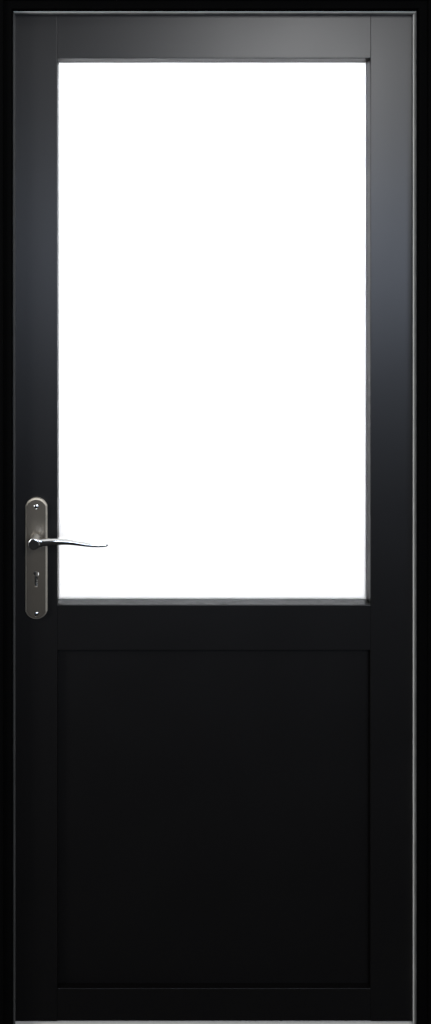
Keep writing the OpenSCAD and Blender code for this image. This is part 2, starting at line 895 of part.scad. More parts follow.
module at_forend_screws() {
    for (s = [-1, 1])
        translate([-backset, 0, forend_zc + s * (forend_l / 2 - forend_screw_inset)])
            rotate([0, 90, 0]) children();
}

module lock_forend() {
    color("#9a9890") at_spindle() difference() {
        block([-backset, -backset + forend_t], [-forend_w / 2, forend_w / 2],
            [forend_zc - forend_l / 2, forend_zc + forend_l / 2]);
        bolt_slots();
        at_forend_screws() screw_hole(forend_screw_d, forend_screw_head, forend_screw_l);
    }
}

module forend_screws() {
    color("#a8a8a4") at_spindle() at_forend_screws()
        wood_screw(forend_screw_d, forend_screw_head, forend_screw_l);
}

// Latch: a bevelled head, a tail over the follower and a lug that the follower pulls back
module latch_bolt() {
    head_x1 = -backset + latch_body;
    color("#c4c2bc") at_spindle() {
        translate([0, 0, latch_z0]) linear_extrude(latch_h)
            polygon([
                [head_x1, -bolt_t / 2], [head_x1, bolt_t / 2], [-backset - latch_throw, bolt_t / 2],
                [-backset - latch_throw, bolt_t / 2 - latch_tip_t], [-backset, -bolt_t / 2]
            ]);
        block([head_x1 - 1, lug_x + lug_t], [-tail_t / 2, tail_t / 2], [tail_z0, tail_z0 + tail_h]);
        block([lug_x, lug_x + lug_t], [-tail_t / 2, tail_t / 2], [lug_z0, tail_z0 + tail_h]);
        translate([0, 0, spring_z]) rod_x(spring_guide_r, head_x1 - 1, head_x1 + spring_guide_l);
    }
}

// Point on a ring of the spring's wire, at a turn along the coil and a turn round the wire
function spring_point(a, b, x0, pitch) = [
    x0 + pitch * a / 360 + spring_wire_r * sin(b),
    (spring_coil_r + spring_wire_r * cos(b)) * cos(a),
    (spring_coil_r + spring_wire_r * cos(b)) * sin(a)
];

// Coil spring from the latch's head to the post in the case
module latch_spring() {
    sides = 6;
    steps = 14 * spring_turns;
    x0 = -backset + latch_body + spring_wire_r + running_fit;
    x1 = spring_post_x - spring_wire_r - running_fit;
    pitch = (x1 - x0) / spring_turns;
    points = [
        for (i = [0:steps], j = [0:sides - 1])
            spring_point(360 * spring_turns * i / steps, 360 * j / sides, x0, pitch)
    ];
    wall = [
        for (i = [0:steps - 1], j = [0:sides - 1])
            let (k = (j + 1) % sides)
            [i * sides + j, i * sides + k, (i + 1) * sides + k, (i + 1) * sides + j]
    ];
    first = [for (j = [sides - 1:-1:0]) j];
    last = [for (j = [0:sides - 1]) steps * sides + j];
    color("#b8b6b0") at_spindle() translate([0, 0, spring_z])
        polyhedron(points = points, faces = concat(wall, [first, last]));
}

// Deadbolt: a square head and a tail that slides on the case's stud, notched for the key
module deadbolt() {
    tail_x1 = -backset + deadbolt_tail_l;
    color("#c4c2bc") at_spindle() difference() {
        union() {
            block([-backset, -backset + deadbolt_head_l], [-bolt_t / 2, bolt_t / 2],
                [deadbolt_z0, deadbolt_z1]);
            block([-backset + deadbolt_head_l - 1, tail_x1], [-tail_t / 2, tail_t / 2],
                [deadbolt_z0, deadbolt_z1 - tail_step]);
        }
        for (x = [0, deadbolt_throw])
            translate([stud_x + x, 0, stud_z]) rod_y(stud_r + slide_gap, -case_t, case_t);
        block([stud_x, stud_x + deadbolt_throw], [-case_t, case_t],
            [stud_z - stud_r - slide_gap, stud_z + stud_r + slide_gap]);
        block([-talon_w / 2, talon_w / 2], [-case_t, case_t], [deadbolt_z0 - 1, deadbolt_z0 + talon_h]);
    }
}

// Bent leaf spring that bears on the deadbolt's tail
module detent_spring() {
    low = deadbolt_z1 - tail_step + slide_gap;
    post = detent_post;
    color("#b8b6b0") at_spindle() translate([0, tail_t / 2, 0]) rotate([90, 0, 0])
        linear_extrude(tail_t) difference() {
            union() {
                polygon([
                    [detent_tip_x, low + detent_lift], [detent_bend_x, low],
                    [post[0], post[1] - detent_bore - detent_strip], [post[0], post[1] - detent_bore],
                    [detent_bend_x, low + detent_strip], [detent_tip_x, low + detent_lift + detent_strip]
                ]);
                translate(post) circle(detent_bore + detent_strip);
            }
            translate(post) circle(detent_bore);
        }
}

// Follower: turns in the case on two bosses, and its arm pulls the latch back
module follower() {
    color("#a8a6a0") at_spindle() difference() {
        union() {
            rod_y(follower_r, -case_in + slide_gap, case_in - slide_gap);
            rod_y(follower_boss_r, -case_t / 2, case_t / 2);
            block([-arm_r, arm_r], [-tail_t / 2, tail_t / 2], [0, arm_l]);
            translate([0, 0, arm_l]) rod_y(arm_r, -tail_t / 2, tail_t / 2);
        }
        cube([spindle_s + 2 * fit, leaf_t, spindle_s + 2 * fit], center = true);
    }
}

// Handles; the front ones are drawn and the rear ones mirrored

// Outline of a handle plate drawn in by an amount: straight sides and arched ends
module plate_outline(inset) {
    end_z = plate_h / 2 - plate_end_r;
    intersection() {
        square([plate_w - 2 * inset, plate_h - 2 * inset], center = true);
        union() {
            square([plate_w, plate_h - 2 * plate_rise], center = true);
            for (s = [-1, 1]) translate([0, s * end_z]) circle(plate_end_r - inset);
        }
    }
}

// Layer of the plate's outline between two depths from the leaf's middle
module plate_layer(inset, y0, y1) {
    translate([0, -y0, 0]) rotate([90, 0, 0]) linear_extrude(y1 - y0) plate_outline(inset);
}

module at_plate_bolts() {
    for (z = plate_bolt_z) translate([spindle_x, 0, z]) children();
}

// Long plate: bevelled outside and hollow behind, with a boss round each hole
module handle_plate(bolt_hole_r) {
    skin = 0.01;
    difference() {
        union() {
            difference() {
                translate([spindle_x, 0, plate_z]) hull() {
                    plate_layer(0, leaf_rear, plate_y - plate_bevel);
                    plate_layer(plate_bevel, plate_y - skin, plate_y);
                }
                translate([spindle_x, 0, plate_z])
                    plate_layer(plate_wall + plate_bevel / 2, leaf_rear - 1, plate_y - plate_wall);
            }
            at_plate_bolts() rod_y(bolt_hole_r + plate_boss_wall, -plate_y + 1, -leaf_rear);
            at_spindle() rod_y(bush_r + plate_boss_wall, -plate_y + 1, -leaf_rear);
        }
        at_plate_bolts() rod_y(bolt_hole_r, -plate_y - 1, 0);
        at_plate_bolts() translate([0, -plate_y, 0]) rotate([-90, 0, 0]) {
            translate([0, 0, -1]) cylinder(r = plate_bolt_head_r + fit, h = 1);
            cylinder(r1 = plate_bolt_head_r + fit, r2 = bolt_hole_r, h = plate_bolt_head_h);
        }
        at_spindle() rod_y(bush_r + running_fit, -plate_y - 1, 0);
        at_spindle() translate([0, -plate_y, -key_drop]) keyhole(2 * plate_t, 0);
    }
}

module plate_front() { color("#7d7a70") handle_plate(plate_bolt_r + fit); }
module plate_rear() { color("#7d7a70") mirror([0, 1, 0]) handle_plate(plate_sleeve_r + fit); }

// Bush that the lever's neck turns in, with a flange on the plate
module lever_bush() {
    at_spindle() rotate([90, 0, 0]) difference() {
        union() {
            translate([0, 0, leaf_rear]) cylinder(r = bush_r, h = plate_t + bush_flange_t);
            translate([0, 0, plate_y]) cylinder(r = bush_flange_r, h = bush_flange_t);
        }
        cylinder(r = lever_neck_r + running_fit, h = hub_y1);
    }
}

module lever_bush_front() { color("#8d8b84") lever_bush(); }
module lever_bush_rear() { color("#8d8b84") mirror([0, 1, 0]) lever_bush(); }

// Smooth step from 0 to 1
function ease(t) = let (c = max(0, min(1, t))) c * c * (3 - 2 * c);

// The grip's centre line, half height and half depth at a distance from the spindle
function grip_z(x) = grip_rise * ease(x / (0.3 * lever_l))
    - (grip_rise + grip_drop) * ease((x - 0.35 * lever_l) / (0.55 * lever_l));
function grip_out(x) = -grip_d / 3 * ease((x - 0.72 * lever_l) / (0.28 * lever_l));
function grip_half_h(x) = (grip_root_h + (grip_tip_h - grip_root_h) * ease(x / lever_l * 1.1)) / 2;
function grip_half_d(x) = grip_d / 2 * (1 - 0.25 * ease(x / lever_l));
// Rounding of the tip, from full size down to a small end face
function tip_round(x) = let (t = max(0, (x - lever_l + grip_tip_h) / grip_tip_h)) sqrt(1 - 0.93 * t * t);

// Loft of the lever's grip along its S-shaped centre line
module lever_grip() {
    sides = 20;
    rings = 28;
    function station(i) = let (t = i / rings) lever_l * (1 - (1 - t) * (1 - t * 0.35));
    points = [
        for (i = [0:rings], j = [0:sides - 1])
            let (x = station(i), a = 360 * j / sides)
            [
                x,
                -grip_y - grip_out(x) + grip_half_d(x) * tip_round(x) * cos(a),
                grip_z(x) + grip_half_h(x) * tip_round(x) * sin(a)
            ]
    ];
    wall = [
        for (i = [0:rings - 1], j = [0:sides - 1])
            let (k = (j + 1) % sides)
            [i * sides + j, (i + 1) * sides + j, (i + 1) * sides + k, i * sides + k]
    ];
    first = [for (j = [0:sides - 1]) j];
    last = [for (j = [sides - 1:-1:0]) rings * sides + j];
    polyhedron(points = points, faces = concat(wall, [first, last]));
}

// Lever: a turned neck and hub with the grip growing out of its side
module lever() {
    at_spindle() difference() {
        union() {
            rotate([90, 0, 0]) rotate_extrude() {
                translate([0, neck_y0]) square([lever_neck_r, hub_y1 - neck_y0 - hub_round]);
                polygon([
                    [0, hub_y0], [lever_neck_r + 1, hub_y0], [lever_hub_r, hub_y0 + hub_flare],
                    [lever_hub_r, hub_y1 - hub_round], [0, hub_y1 - hub_round]
                ]);
                translate([0, hub_y1 - hub_round - 1]) square([lever_hub_r - hub_round, hub_round + 1]);
                translate([lever_hub_r - hub_round, hub_y1 - hub_round]) circle(hub_round);
            }
            lever_grip();
        }
        translate([0, -spindle_l / 2, 0])
            cube([spindle_s + 2 * fit, spindle_l + 2 * fit, spindle_s + 2 * fit], center = true);
        translate([0, -grub_y, -lever_hub_r - 1]) cylinder(r = grub_r + fit, h = lever_hub_r + 1);
    }
}

module lever_front() { color("#c9c9c9") lever(); }
module lever_rear() { color("#c9c9c9") mirror([0, 1, 0]) lever(); }

module spindle() {
    color("#98968f") at_spindle() cube([spindle_s, 2 * spindle_l, spindle_s], center = true);
}

// Set screws that hold the levers on the spindle from below
module grub_screws() {
    color("#88867f") at_spindle() for (s = [-1, 1])
        translate([0, s * grub_y, grub_sink - lever_hub_r]) difference() {
            cylinder(r = grub_r, h = lever_hub_r - grub_sink - spindle_s / 2);
            translate([0, 0, -1]) cylinder(r = grub_r / 2, h = grub_socket + 1, $fn = 6);
        }
}

// Raised head of the plates' bolts and sleeves, its rim at the origin and its shank along +Z
module raised_head(shank_r) {
    dome = 1.2;
    slot = 1;
    slot_d = 0.6;
    dome_r = (plate_bolt_head_r * plate_bolt_head_r + dome * dome) / (2 * dome);
    cylinder(r1 = plate_bolt_head_r, r2 = shank_r, h = plate_bolt_head_h);
    difference() {
        intersection() {
            translate([0, 0, dome_r - dome]) sphere(r = dome_r);
            translate([0, 0, -dome]) cylinder(r = plate_bolt_head_r, h = dome + 0.01);
        }
        translate([0, 0, -dome]) cube([2 * plate_bolt_head_r, slot, 2 * slot_d], center = true);
    }
}

module plate_bolts() {
    color("#c4c2bc") at_plate_bolts() translate([0, -plate_y, 0]) rotate([-90, 0, 0]) {
        raised_head(plate_bolt_r);
        cylinder(r = plate_bolt_r, h = plate_y + plate_bolt_reach);
    }
}

module plate_sleeves() {
    color("#c4c2bc") at_plate_bolts() translate([0, plate_y, 0]) rotate([90, 0, 0]) difference() {
        union() {
            raised_head(plate_sleeve_r);
            cylinder(r = plate_sleeve_r, h = plate_y + plate_sleeve_reach);
        }
        translate([0, 0, plate_y - plate_bolt_reach - plate_bolt_end_gap])
            cylinder(r = plate_bolt_r + running_fit, h = leaf_t);
    }
}

jamb_latch_side();
jamb_hinge_side();
frame_head();
frame_corner_screws();
stop_latch_side();
stop_hinge_side();
stop_head();
seal_latch_side();
seal_hinge_side();
seal_head();
strike_plate();
strike_screws();
hinge_frame_half(hinge_z[0]);  // hinge_bottom_frame_half
hinge_frame_half(hinge_z[1]);  // hinge_middle_frame_half
hinge_frame_half(hinge_z[2]);  // hinge_top_frame_half
hinge_door_half(hinge_z[0]);  // hinge_bottom_door_half
hinge_door_half(hinge_z[1]);  // hinge_middle_door_half
hinge_door_half(hinge_z[2]);  // hinge_top_door_half
hinge_pin(hinge_z[0]);  // hinge_bottom_pin
hinge_pin(hinge_z[1]);  // hinge_middle_pin
hinge_pin(hinge_z[2]);  // hinge_top_pin
hinge_frame_screws();
hinge_door_screws();
stile_latch_side();
stile_hinge_side();
rail_top();
rail_middle();
rail_bottom();
rail_dowels();
lower_panel();
glass_pane();
glazing_tape_front();
glazing_tape_rear();
setting_blocks();
bead_top();
bead_bottom();
bead_latch_side();
bead_hinge_side();
bead_pins();
lock_case();
lock_cover();
lock_cover_screws();
lock_forend();
forend_screws();
latch_bolt();
latch_spring();
deadbolt();
detent_spring();
follower();
plate_front();
plate_rear();
lever_bush_front();
lever_bush_rear();
lever_front();
lever_rear();
spindle();
grub_screws();
plate_bolts();
plate_sleeves();
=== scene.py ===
import json
import math

import bpy
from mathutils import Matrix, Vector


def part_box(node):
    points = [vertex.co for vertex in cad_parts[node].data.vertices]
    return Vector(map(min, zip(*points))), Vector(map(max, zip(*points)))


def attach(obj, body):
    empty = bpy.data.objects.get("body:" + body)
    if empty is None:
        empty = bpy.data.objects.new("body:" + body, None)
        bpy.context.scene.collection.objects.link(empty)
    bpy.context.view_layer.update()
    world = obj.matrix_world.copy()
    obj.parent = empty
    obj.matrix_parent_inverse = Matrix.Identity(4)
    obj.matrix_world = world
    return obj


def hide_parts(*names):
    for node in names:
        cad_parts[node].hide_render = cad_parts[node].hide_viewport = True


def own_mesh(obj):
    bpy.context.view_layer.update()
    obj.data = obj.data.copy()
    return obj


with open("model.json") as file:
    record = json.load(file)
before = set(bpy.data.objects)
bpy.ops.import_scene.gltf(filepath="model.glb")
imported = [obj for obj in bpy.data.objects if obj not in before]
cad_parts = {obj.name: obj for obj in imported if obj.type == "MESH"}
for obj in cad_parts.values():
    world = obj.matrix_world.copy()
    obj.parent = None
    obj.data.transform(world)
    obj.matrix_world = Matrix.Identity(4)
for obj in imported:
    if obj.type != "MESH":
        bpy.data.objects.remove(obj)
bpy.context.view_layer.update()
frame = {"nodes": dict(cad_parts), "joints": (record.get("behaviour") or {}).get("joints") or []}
pieces = frame["nodes"]

# Frame boards and stops
# Two jambs and a head of planed timber with a stop batten planted on each.
# They are brushed with a dead matte black paint, which gives back almost no light.


def linear(code):
    """Turns an sRGB hex value into a linear colour."""
    parts = [int(code[i:i + 2], 16) / 255 for i in (1, 3, 5)]
    return [p / 12.92 if p <= 0.04045 else ((p + 0.055) / 1.055) ** 2.4 for p in parts] + [1.0]


def add(tree, kind, inputs, **settings):
    """Adds a node with its settings, and sets or links each of its named inputs."""
    node = tree.nodes.new(kind)
    for name, value in settings.items():
        setattr(node, name, value)
    for name, value in inputs.items():
        if isinstance(value, bpy.types.NodeSocket):
            tree.links.new(value, node.inputs[name])
        else:
            node.inputs[name].default_value = value
    return node


def new_finish(name):
    """Starts a material and gives its node tree, its shader and the place on the piece."""
    finish = bpy.data.materials.new(name)
    finish.use_nodes = True
    tree = finish.node_tree
    place = add(tree, "ShaderNodeTexCoord", {}).outputs["Object"]
    return finish, tree, tree.nodes["Principled BSDF"], place


def coat(finish, *names):
    """Puts a finish on pieces of the door."""
    for name in names:
        pieces[name].data.materials.clear()
        pieces[name].data.materials.append(finish)


def brushed_paint(name, stretch):
    """Matte paint with its brush marks drawn out along a board."""
    finish, tree, shader, place = new_finish(name)
    mark_mm = 1.5
    marks = add(tree, "ShaderNodeMapping", {"Vector": place, "Scale": stretch})
    brush = add(tree, "ShaderNodeTexNoise",
                {"Vector": marks.outputs[0], "Scale": 1000 / mark_mm, "Detail": 3.0})
    cloud_mm = 90
    cloud = add(tree, "ShaderNodeTexNoise", {"Vector": place, "Scale": 1000 / cloud_mm, "Detail": 4.0})
    tone = add(tree, "ShaderNodeMix",
               {"Factor": cloud.outputs["Fac"], "A": linear("#020202"), "B": linear("#040404")},
               data_type="RGBA")
    dull = add(tree, "ShaderNodeMapRange", {"Value": brush.outputs["Fac"], "To Min": 0.78, "To Max": 0.92})
    relief = add(tree, "ShaderNodeBump",
                 {"Height": brush.outputs["Fac"], "Strength": 0.25, "Distance": 0.0002})
    tree.links.new(tone.outputs["Result"], shader.inputs["Base Color"])
    tree.links.new(dull.outputs["Result"], shader.inputs["Roughness"])
    tree.links.new(relief.outputs["Normal"], shader.inputs["Normal"])
    shader.inputs["Specular IOR Level"].default_value = 0.025
    return finish


upright_paint = brushed_paint("matte_black_paint_upright", stretch=(1.0, 1.0, 0.02))
level_paint = brushed_paint("matte_black_paint_level", stretch=(0.02, 1.0, 1.0))
coat(upright_paint, "jamb_latch_side", "jamb_hinge_side", "stop_latch_side", "stop_hinge_side")
coat(level_paint, "frame_head", "stop_head")

# Seal
# A light grey PVC strip stapled round the stop, with a hollow bulb that the leaf closes against.
# Extruded PVC has a faint waxy gloss and a cloudy film of dust. Its tone runs from flange to bulb as painted
# light and
# shade: the hinge side's flange is painted in shade, the head's bulb is painted in shade, and the latch side
# is painted darker all over as shade.
front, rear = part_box("seal_head")
seal_d = rear[1] - front[1]
flange_y = front[1] + 0.25 * seal_d
bulb_y = front[1] + 0.7 * seal_d


def extruded_pvc(name, flange, bulb):
    """Soft PVC with a cloudy film of dust, whose tone goes from the flange to the bulb as painted light and
    shade.
    """
    finish, tree, shader, place = new_finish(name)
    dust_mm = 35
    dust = add(tree, "ShaderNodeTexNoise", {"Vector": place, "Scale": 1000 / dust_mm, "Detail": 5.0})
    depth = add(tree, "ShaderNodeSeparateXYZ", {"Vector": place})
    # Painted light and shade: the tone shifts with depth from the flange to the bulb.
    across = add(tree, "ShaderNodeMapRange",
                 {"Value": depth.outputs["Y"], "From Min": flange_y, "From Max": bulb_y,
                  "To Min": -0.2, "To Max": 0.8})
    cloud = add(tree, "ShaderNodeMath", {0: dust.outputs["Fac"], 1: 0.4, 2: across.outputs["Result"]},
                operation="MULTIPLY_ADD", use_clamp=True)
    tone = add(tree, "ShaderNodeMix", {"Factor": cloud.outputs[0], "A": linear(flange), "B": linear(bulb)},
               data_type="RGBA")
    wear = add(tree, "ShaderNodeMapRange", {"Value": dust.outputs["Fac"], "To Min": 0.45, "To Max": 0.65})
    tree.links.new(tone.outputs["Result"], shader.inputs["Base Color"])
    tree.links.new(wear.outputs["Result"], shader.inputs["Roughness"])
    return finish


# Painted shade: the hinge side's flange, the head's bulb and the whole latch side are drawn darker for the
# shade they lie in.
coat(extruded_pvc("extruded_grey_pvc", flange="#5c5c5a", bulb="#bebeba"), "seal_hinge_side")
coat(extruded_pvc("extruded_grey_pvc_soiled", flange="#2c2c2b", bulb="#4c4c4a"), "seal_latch_side")
coat(extruded_pvc("extruded_grey_pvc_shaded", flange="#c4c4c0", bulb="#363635"), "seal_head")

# Screws, pins and the detent spring
# Zinc-plated steel wood screws, bead pins, the set screws of the levers and the deadbolt's flat spring.
# The plating is bright but slightly cloudy from its crystals, which are drawn coarse enough to show.
zinc, tree, shader, place = new_finish("zinc_plated_steel")
crystal_mm = 1.2
crystal = add(tree, "ShaderNodeTexVoronoi", {"Vector": place, "Scale": 1000 / crystal_mm})
tone = add(tree, "ShaderNodeMix",
           {"Factor": crystal.outputs["Distance"], "A": linear("#b4b3ac"), "B": linear("#d2d1cb")},
           data_type="RGBA")
cloudy = add(tree, "ShaderNodeMapRange",
             {"Value": crystal.outputs["Distance"], "To Min": 0.28, "To Max": 0.45})
tree.links.new(tone.outputs["Result"], shader.inputs["Base Color"])
tree.links.new(cloudy.outputs["Result"], shader.inputs["Roughness"])
shader.inputs["Metallic"].default_value = 1.0
coat(zinc, "frame_corner_screws", "strike_screws", "hinge_frame_screws", "hinge_door_screws", "bead_pins",
     "lock_cover_screws", "forend_screws", "grub_screws", "detent_spring")

# Strike, hinges and lock
# Pressed and rolled steel plates with a brushed nickel plating, grained along their length.
# The grain spreads a reflection into a soft band. It is drawn coarser than real, so that it shows.


def brushed_metal(name, light, dark, rough, stretch, grain_mm):
    """Metal with a fine grain drawn out along one direction."""
    finish, tree, shader, place = new_finish(name)
    drawn = add(tree, "ShaderNodeMapping", {"Vector": place, "Scale": stretch})
    grain = add(tree, "ShaderNodeTexNoise",
                {"Vector": drawn.outputs[0], "Scale": 1000 / grain_mm, "Detail": 4.0})
    tone = add(tree, "ShaderNodeMix",
               {"Factor": grain.outputs["Fac"], "A": linear(dark), "B": linear(light)}, data_type="RGBA")
    spread = add(tree, "ShaderNodeMapRange",
                 {"Value": grain.outputs["Fac"], "To Min": rough - 0.07, "To Max": rough + 0.07})
    relief = add(tree, "ShaderNodeBump",
                 {"Height": grain.outputs["Fac"], "Strength": 0.15, "Distance": 0.0001})
    tree.links.new(tone.outputs["Result"], shader.inputs["Base Color"])
    tree.links.new(spread.outputs["Result"], shader.inputs["Roughness"])
    tree.links.new(relief.outputs["Normal"], shader.inputs["Normal"])
    shader.inputs["Metallic"].default_value = 1.0
    return finish


fitting_steel = brushed_metal("brushed_nickel_plated_steel", light="#c9c7c0", dark="#b3b1a9", rough=0.32,
                              stretch=(1.0, 1.0, 0.04), grain_mm=0.5)
coat(fitting_steel, "strike_plate", "lock_forend", "lock_case", "lock_cover", "latch_bolt", "deadbolt",
     "follower", "spindle")
for hinge in ("hinge_bottom", "hinge_middle", "hinge_top"):
    coat(fitting_steel, hinge + "_frame_half", hinge + "_door_half", hinge + "_pin")

# Latch spring
# Zinc-plated wire wound into a coil, which pushes the latch out from a post in the lock case.
# It shortens towards the post when a lever draws the latch back.
joints = {joint["name"]: joint for joint in frame["joints"]}
near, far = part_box("latch_spring")
wire_r = 0.0006
wire_sides = 12
turns = 8
steps_a_turn = 28
sharp_angle = math.radians(35)
coil_l = far[0] - near[0]
coil_r = (far[1] - near[1]) / 2 - wire_r
bpy.ops.object.select_all(action="DESELECT")
bpy.ops.mesh.primitive_circle_add(vertices=wire_sides, radius=wire_r,
                                  location=(near[0] + wire_r, (near[1] + far[1]) / 2, (near[2] + far[2]) / 2))
spring = bpy.context.object
spring.name = "wound_latch_spring"
bpy.ops.object.mode_set(mode="EDIT")
bpy.ops.transform.translate(value=(0.0, coil_r, 0.0))
bpy.ops.object.mode_set(mode="OBJECT")
bpy.ops.object.modifier_add(type="SCREW")
winding = spring.modifiers[-1]
winding.axis = "X"
winding.iterations = turns
winding.screw_offset = (coil_l - 2 * wire_r) / turns
winding.steps = steps_a_turn
winding.render_steps = steps_a_turn
bpy.ops.object.modifier_apply(modifier=winding.name)
bpy.ops.object.transform_apply()
bpy.ops.object.mode_set(mode="EDIT")
bpy.ops.mesh.select_all(action="SELECT")
bpy.ops.mesh.fill_holes(sides=0)
bpy.ops.mesh.normals_make_consistent(inside=False)
bpy.ops.object.mode_set(mode="OBJECT")
bpy.ops.object.shade_smooth_by_angle(angle=sharp_angle)
spring.data.materials.append(zinc)
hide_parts("latch_spring")
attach(spring, "leaf")
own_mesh(spring)

# Leaf
# Stiles, rails, panel and beads of planed timber, sprayed with satin black lacquer.
# The lacquer has a fine orange peel, and the timber's grain shows through it very faintly.
# It is thin and dull on the edges and round the glass, most on the bottom rail's ledge, where dust lies.


def facing(tree):
    """Gives 1 on the front and rear of a piece and 0 on its edges."""
    way = add(tree, "ShaderNodeTexCoord", {}).outputs["Normal"]
    parts = add(tree, "ShaderNodeSeparateXYZ", {"Vector": way})
    return add(tree, "ShaderNodeMath", {0: parts.outputs["Y"]}, operation="ABSOLUTE").outputs[0]


def satin_lacquer(name, stretch, edge_sheen, dull_to):
    """Satin lacquer over timber whose grain runs along one direction, dull where it turns from the face."""
    finish, tree, shader, place = new_finish(name)
    peel_mm = 2.2
    peel = add(tree, "ShaderNodeTexNoise", {"Vector": place, "Scale": 1000 / peel_mm, "Detail": 2.0})
    drawn = add(tree, "ShaderNodeMapping", {"Vector": place, "Scale": stretch})
    grain_mm = 4
    grain = add(tree, "ShaderNodeTexNoise",
                {"Vector": drawn.outputs[0], "Scale": 1000 / grain_mm, "Detail": 4.0})
    cloud_mm = 180
    cloud = add(tree, "ShaderNodeTexNoise", {"Vector": place, "Scale": 1000 / cloud_mm, "Detail": 3.0})
    tone = add(tree, "ShaderNodeMix",
               {"Factor": grain.outputs["Fac"], "A": linear("#060505"), "B": linear("#090808")},
               data_type="RGBA")
    satin = add(tree, "ShaderNodeMapRange", {"Value": cloud.outputs["Fac"], "To Min": 0.37, "To Max": 0.43})
    height = add(tree, "ShaderNodeMath", {0: peel.outputs["Fac"], 1: grain.outputs["Fac"]}, operation="ADD")
    relief = add(tree, "ShaderNodeBump",
                 {"Height": height.outputs[0], "Strength": 0.12, "Distance": 0.0002})
    sheen = add(tree, "ShaderNodeMapRange",
                {"Value": facing(tree), "From Min": dull_to, "From Max": 0.9,
                 "To Min": edge_sheen, "To Max": 0.5})
    tree.links.new(tone.outputs["Result"], shader.inputs["Base Color"])
    tree.links.new(satin.outputs["Result"], shader.inputs["Roughness"])
    tree.links.new(sheen.outputs["Result"], shader.inputs["Specular IOR Level"])
    tree.links.new(relief.outputs["Normal"], shader.inputs["Normal"])
    return finish


along_z = (1.0, 1.0, 0.03)
along_x = (0.03, 1.0, 1.0)
upright_lacquer = satin_lacquer("satin_black_lacquer_upright", along_z, edge_sheen=0.12, dull_to=0.1)
level_lacquer = satin_lacquer("satin_black_lacquer_level", along_x, edge_sheen=0.15, dull_to=0.1)
dusty_lacquer = satin_lacquer("satin_black_lacquer_dusty_ledge", along_x, edge_sheen=0.04, dull_to=0.8)
coat(upright_lacquer, "stile_latch_side", "stile_hinge_side", "lower_panel", "bead_latch_side",
     "bead_hinge_side")
coat(level_lacquer, "rail_top", "rail_middle", "bead_top", "bead_bottom")
coat(dusty_lacquer, "rail_bottom")

# Dowels
# Round beech dowels glued across the joints of stiles and rails, seen only when the leaf is taken apart.
# Planed beech is a warm pale brown with short darker flecks along the grain.
beech, tree, shader, place = new_finish("planed_beech")
fleck_mm = 1.8
drawn = add(tree, "ShaderNodeMapping", {"Vector": place, "Scale": (0.1, 1.0, 1.0)})
fleck = add(tree, "ShaderNodeTexNoise",
            {"Vector": drawn.outputs[0], "Scale": 1000 / fleck_mm, "Detail": 4.0})
tone = add(tree, "ShaderNodeMix",
           {"Factor": fleck.outputs["Fac"], "A": linear("#b88a58"), "B": linear("#d3ad7c")},
           data_type="RGBA")
tree.links.new(tone.outputs["Result"], shader.inputs["Base Color"])
shader.inputs["Roughness"].default_value = 0.6
coat(beech, "rail_dowels")

# Glass
# One pane etched to a satin white on both faces, so that light comes through and shapes don't.
# Tape and beads hold it in a rebate, and it stands on two blocks. Tape and blocks are of rubber,
# a dull black with a fine crumb.
glass, tree, shader, place = new_finish("satin_etched_glass")
film_mm = 240
film = add(tree, "ShaderNodeTexNoise", {"Vector": place, "Scale": 1000 / film_mm, "Detail": 3.0})
smear = add(tree, "ShaderNodeMapRange", {"Value": film.outputs["Fac"], "To Min": 0.85, "To Max": 0.95})
tree.links.new(smear.outputs["Result"], shader.inputs["Roughness"])
shader.inputs["Base Color"].default_value = linear("#ffffff")
shader.inputs["Transmission Weight"].default_value = 1.0
shader.inputs["IOR"].default_value = 1.45
shader.inputs["Specular IOR Level"].default_value = 0.3
coat(glass, "glass_pane")
rubber, tree, shader, place = new_finish("black_rubber")
crumb_mm = 0.8
crumb = add(tree, "ShaderNodeTexNoise", {"Vector": place, "Scale": 1000 / crumb_mm, "Detail": 3.0})
tone = add(tree, "ShaderNodeMix",
           {"Factor": crumb.outputs["Fac"], "A": linear("#101010"), "B": linear("#1b1b1b")},
           data_type="RGBA")
tree.links.new(tone.outputs["Result"], shader.inputs["Base Color"])
shader.inputs["Roughness"].default_value = 0.85
coat(rubber, "glazing_tape_front", "glazing_tape_rear", "setting_blocks")

# Handle plates
# Long hollow plates of zinc casting, plated in satin nickel and brushed upright on the face.
# Their bevelled rims are buffed, and a painted highlight draws them lighter and rougher than the face.
# The levers' bushes are plated like the face.
face_nickel = brushed_metal("brushed_satin_nickel", light="#827b70", dark="#706a60", rough=0.48,
                            stretch=(1.0, 1.0, 0.03), grain_mm=0.5)
coat(face_nickel, "lever_bush_front", "lever_bush_rear")
rim_nickel = face_nickel.copy()
rim_nickel.name = "brushed_satin_nickel_buffed_rim"
tree = rim_nickel.node_tree
shader = tree.nodes["Principled BSDF"]
# Painted highlight: where the face turns into the bevel, it takes a lighter tone and a wider spread.
rim = add(tree, "ShaderNodeMapRange",
          {"Value": facing(tree), "From Min": 0.8, "From Max": 0.97, "To Min": 1.0, "To Max": 0.0})
face_tone = shader.inputs["Base Color"].links[0].from_socket
tone = add(tree, "ShaderNodeMix", {"Factor": rim.outputs["Result"], "A": face_tone, "B": linear("#d4cec1")},
           data_type="RGBA")
face_spread = shader.inputs["Roughness"].links[0].from_socket
spread = add(tree, "ShaderNodeMix", {"Factor": rim.outputs["Result"], "A": face_spread, "B": 0.6})
tree.links.new(tone.outputs["Result"], shader.inputs["Base Color"])
tree.links.new(spread.outputs["Result"], shader.inputs["Roughness"])
coat(rim_nickel, "plate_front", "plate_rear")

